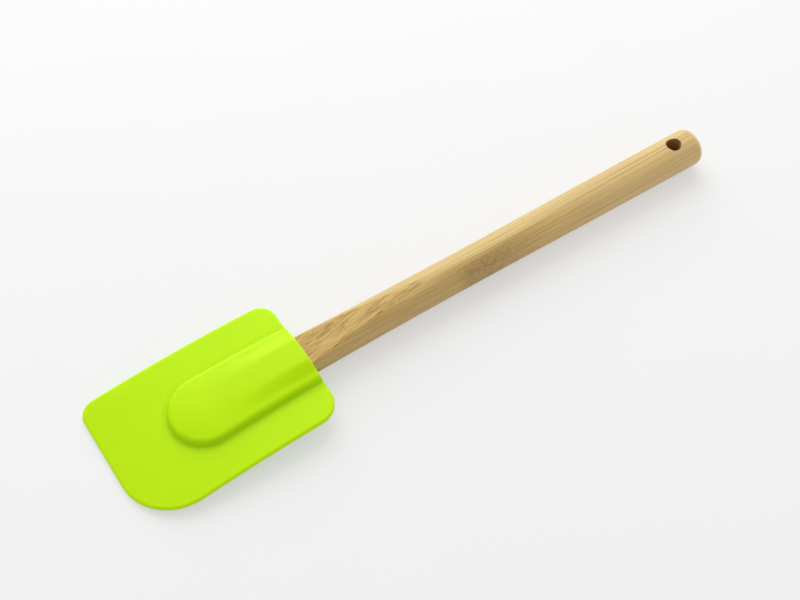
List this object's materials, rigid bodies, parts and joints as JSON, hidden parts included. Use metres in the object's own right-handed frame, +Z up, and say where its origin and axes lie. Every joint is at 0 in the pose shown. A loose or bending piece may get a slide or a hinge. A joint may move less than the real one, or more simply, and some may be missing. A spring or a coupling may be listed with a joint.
{
  "type": "silicone spatula",
  "caption": "Kitchen spatula: a flexible lime silicone blade with one large rounded corner and a thick central boss, pushed on a round bamboo handle with a hanging hole.",
  "frame": {"origin": "on the table, under the middle of the whole spatula as it lies flat", "axes": "+X along the handle to its free end, +Y to the user's right, +Z up, square to the blade"},
  "size_m": [0.3082, 0.0671, 0.0179],
  "materials": {
    "silicone_lime": "satin moulded silicone",
    "bamboo_light": "fine sanded and oiled bamboo",
    "bamboo_dark": "fine sanded and oiled bamboo"
  },
  "bodies": {
    "handle": {"bamboo_strip_right": "bamboo_light", "bamboo_strip_left": "bamboo_dark"},
    "head": {"silicone_head": "silicone_lime"}
  },
  "joints": [
    {"name": "head_pull_off", "type": "slide", "parent": "handle", "child": "head", "axis": [-1, 0, 0], "range_m": [0, 0.045]}
  ]
}
